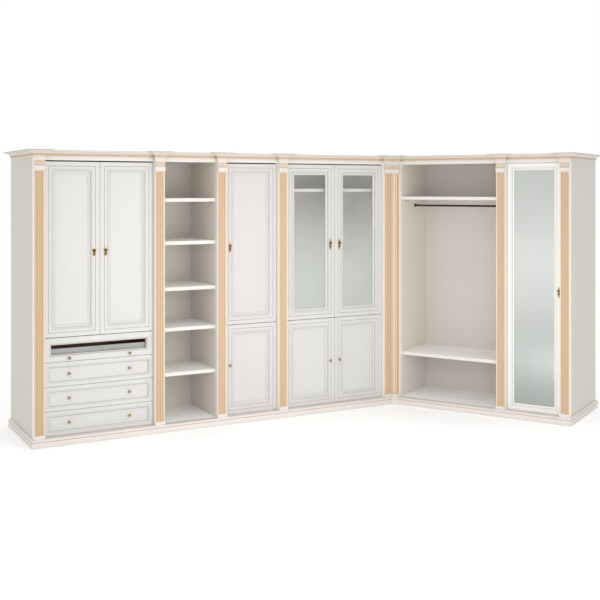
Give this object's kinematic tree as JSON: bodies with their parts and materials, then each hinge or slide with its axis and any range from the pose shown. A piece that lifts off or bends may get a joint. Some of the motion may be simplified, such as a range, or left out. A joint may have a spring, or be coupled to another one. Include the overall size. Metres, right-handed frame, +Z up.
{
  "type": "corner wardrobe",
  "caption": "Fitted corner wardrobe in ivory lacquer with fluted pilasters, cornice, panelled and glazed doors, mirror door, drawers, open shelves and a hanging bay.",
  "frame": {"origin": "middle of the footprint's bounding box, on the floor", "axes": "+Z up; +X out of the longer run's front; +Y along the longer run towards the inside corner"},
  "size_m": [2.2766, 4.8504, 2.259],
  "materials": {
    "ivory_lacquer": "satin ivory lacquer",
    "tan_lacquer": "satin tan lacquer, glazed in the flutes",
    "carcass_board": "satin beige board",
    "back_board": "matt board",
    "drawer_wood": "clear varnished wood",
    "brass": "aged polished brass",
    "glass": "clear float glass",
    "satin_glass": "satin glass",
    "mirror": "silvered mirror",
    "dark_rail": "dark bronze coat",
    "steel": "zinc plated",
    "plastic": "moulded"
  },
  "bodies": {
    "carcass": {"back_panels": "back_board", "bottom_boards": "carcass_board", "capitals": "ivory_lacquer", "clothes_rails": "dark_rail", "cornice_caps": "ivory_lacquer", "cornice_lengths": "ivory_lacquer", "dividers": "carcass_board", "drawer_runners": "steel", "levelling_feet": "plastic", "pilaster_bases": "ivory_lacquer", "pilaster_columns": "ivory_lacquer", "pilaster_facings": "tan_lacquer", "pivot_pins": "steel", "plinth": "ivory_lacquer", "shelf_pegs": "plastic", "shelves": "carcass_board", "side_panels": "carcass_board", "top_boards": "carcass_board"},
    "drawer_bay_left_door": {"drawer_bay_left_door_frame": "ivory_lacquer", "drawer_bay_left_door_handle": "brass", "drawer_bay_left_door_panel": "ivory_lacquer"},
    "drawer_bay_right_door": {"drawer_bay_right_door_frame": "ivory_lacquer", "drawer_bay_right_door_handle": "brass", "drawer_bay_right_door_panel": "ivory_lacquer"},
    "single_upper_door": {"single_upper_door_frame": "ivory_lacquer", "single_upper_door_handle": "brass", "single_upper_door_panel": "ivory_lacquer"},
    "single_lower_door": {"single_lower_door_frame": "ivory_lacquer", "single_lower_door_knob": "brass", "single_lower_door_panel": "ivory_lacquer"},
    "glass_left_door": {"glass_left_door_frame": "ivory_lacquer", "glass_left_door_handle": "brass", "glass_left_door_pane": "glass"},
    "glass_right_door": {"glass_right_door_frame": "ivory_lacquer", "glass_right_door_handle": "brass", "glass_right_door_pane": "glass"},
    "glass_bay_lower_left_door": {"glass_bay_lower_left_door_frame": "ivory_lacquer", "glass_bay_lower_left_door_knob": "brass", "glass_bay_lower_left_door_panel": "ivory_lacquer"},
    "glass_bay_lower_right_door": {"glass_bay_lower_right_door_frame": "ivory_lacquer", "glass_bay_lower_right_door_knob": "brass", "glass_bay_lower_right_door_panel": "ivory_lacquer"},
    "mirror_door": {"mirror_door_backing": "back_board", "mirror_door_frame": "ivory_lacquer", "mirror_door_glass": "mirror", "mirror_door_handle": "brass"},
    "top_drawer": {"top_drawer_box": "drawer_wood", "top_drawer_front": "ivory_lacquer", "top_drawer_knobs": "brass", "top_drawer_pane": "satin_glass"},
    "second_drawer": {"second_drawer_box": "drawer_wood", "second_drawer_front": "ivory_lacquer", "second_drawer_knobs": "brass"},
    "third_drawer": {"third_drawer_box": "drawer_wood", "third_drawer_front": "ivory_lacquer", "third_drawer_knobs": "brass"},
    "bottom_drawer": {"bottom_drawer_box": "drawer_wood", "bottom_drawer_front": "ivory_lacquer", "bottom_drawer_knobs": "brass"}
  },
  "joints": [
    {"name": "drawer_bay_left_door_hinge", "type": "hinge", "parent": "carcass", "child": "drawer_bay_left_door", "pos_m": [-0.3843, -2.27024, 0.8205], "axis": [0, 0, -1], "range_deg": [0, 90]},
    {"name": "drawer_bay_right_door_hinge", "type": "hinge", "parent": "carcass", "child": "drawer_bay_right_door", "pos_m": [-0.3843, -1.41824, 0.8205], "axis": [0, 0, 1], "range_deg": [0, 90]},
    {"name": "single_upper_door_hinge", "type": "hinge", "parent": "carcass", "child": "single_upper_door", "pos_m": [-0.3843, -0.30324, 0.8205], "axis": [0, 0, 1], "range_deg": [0, 90]},
    {"name": "single_lower_door_hinge", "type": "hinge", "parent": "carcass", "child": "single_lower_door", "pos_m": [-0.3843, -0.30324, 0.067], "axis": [0, 0, 1], "range_deg": [0, 90]},
    {"name": "glass_left_door_hinge", "type": "hinge", "parent": "carcass", "child": "glass_left_door", "pos_m": [-0.3843, -0.19324, 0.8205], "axis": [0, 0, -1], "range_deg": [0, 90]},
    {"name": "glass_right_door_hinge", "type": "hinge", "parent": "carcass", "child": "glass_right_door", "pos_m": [-0.3843, 0.77076, 0.8205], "axis": [0, 0, 1], "range_deg": [0, 90]},
    {"name": "glass_bay_lower_left_door_hinge", "type": "hinge", "parent": "carcass", "child": "glass_bay_lower_left_door", "pos_m": [-0.3843, -0.19324, 0.067], "axis": [0, 0, -1], "range_deg": [0, 90]},
    {"name": "glass_bay_lower_right_door_hinge", "type": "hinge", "parent": "carcass", "child": "glass_bay_lower_right_door", "pos_m": [-0.3843, 0.77076, 0.067], "axis": [0, 0, 1], "range_deg": [0, 90]},
    {"name": "mirror_door_hinge", "type": "hinge", "parent": "carcass", "child": "mirror_door", "pos_m": [0.56342, 1.47326, 0.067], "axis": [0, 0, -1], "range_deg": [0, 90]},
    {"name": "top_drawer_slide", "type": "slide", "parent": "carcass", "child": "top_drawer", "axis": [1, 0, 0], "range_m": [0, 0.42]},
    {"name": "second_drawer_slide", "type": "slide", "parent": "carcass", "child": "second_drawer", "axis": [1, 0, 0], "range_m": [0, 0.42]},
    {"name": "third_drawer_slide", "type": "slide", "parent": "carcass", "child": "third_drawer", "axis": [1, 0, 0], "range_m": [0, 0.42]},
    {"name": "bottom_drawer_slide", "type": "slide", "parent": "carcass", "child": "bottom_drawer", "axis": [1, 0, 0], "range_m": [0, 0.42]}
  ]
}
